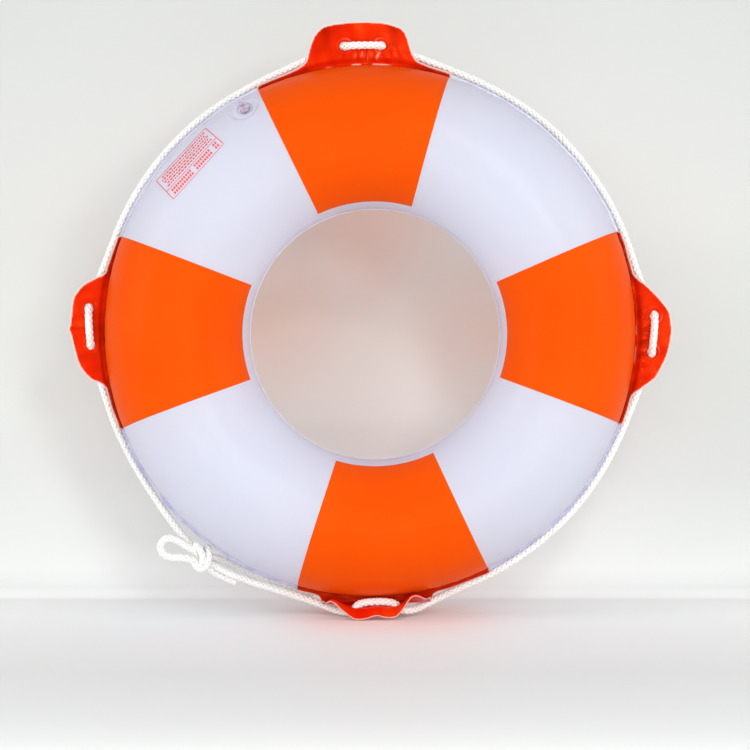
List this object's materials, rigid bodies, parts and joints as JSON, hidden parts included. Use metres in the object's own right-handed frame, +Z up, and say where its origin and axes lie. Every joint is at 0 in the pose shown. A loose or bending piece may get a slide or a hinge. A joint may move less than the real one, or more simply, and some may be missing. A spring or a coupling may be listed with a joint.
{
  "type": "inflatable ring lifebuoy",
  "caption": "Inflatable swim ring in lifebuoy style: white tube with orange sectors, holed flange tabs, a laced and knotted grab line and a push-in air valve.",
  "frame": {"origin": "on the floor under the middle of the object, which stands upright on the front edge of its lowest tab", "axes": "+Z up, the ring's axis along Y, the front with the valve faces -Y, +X to the right seen from the front"},
  "size_m": [0.6412, 0.1472, 0.6303],
  "materials": {
    "white_pvc": "satin white PVC film",
    "orange_print": "satin orange with a fine woven emboss",
    "weld_pvc": "thin translucent welded PVC",
    "tab_pvc": "glossy orange-red PVC",
    "clear_pvc": "clear soft PVC",
    "rope": "white braided polypropylene"
  },
  "bodies": {
    "ring": {"back_film": "white_pvc", "back_panel_bottom": "orange_print", "back_panel_left": "orange_print", "back_panel_right": "orange_print", "back_panel_top": "orange_print", "front_film": "white_pvc", "front_panel_bottom": "orange_print", "front_panel_left": "orange_print", "front_panel_right": "orange_print", "front_panel_top": "orange_print", "grab_line": "rope", "inner_weld": "white_pvc", "line_knot": "rope", "long_tail": "rope", "short_tail": "rope", "slip_loop": "rope", "tab_bottom": "tab_pvc", "tab_left": "tab_pvc", "tab_right": "tab_pvc", "tab_top": "tab_pvc", "valve_base": "clear_pvc", "weld_lower_left": "weld_pvc", "weld_lower_right": "weld_pvc", "weld_upper_left": "weld_pvc", "weld_upper_right": "weld_pvc"},
    "stem": {"valve_stem": "clear_pvc", "plug_strap": "clear_pvc"},
    "plug": {"valve_plug": "clear_pvc"},
    "flap": {"check_flap": "clear_pvc"}
  },
  "joints": [
    {"name": "stem_pull", "type": "slide", "parent": "ring", "child": "stem", "axis": [-0.3165, -0.766, 0.5595], "range_m": [0, 0.011]},
    {"name": "plug_hinge", "type": "hinge", "parent": "stem", "child": "plug", "pos_m": [-0.13488, -0.03684, 0.5403], "axis": [-0.8704, 0, -0.4924], "range_deg": [0, 140]},
    {"name": "flap_hinge", "type": "hinge", "parent": "stem", "child": "flap", "pos_m": [-0.12412, -0.03274, 0.52128], "axis": [-0.8704, 0, -0.4924], "range_deg": [0, 60]}
  ]
}
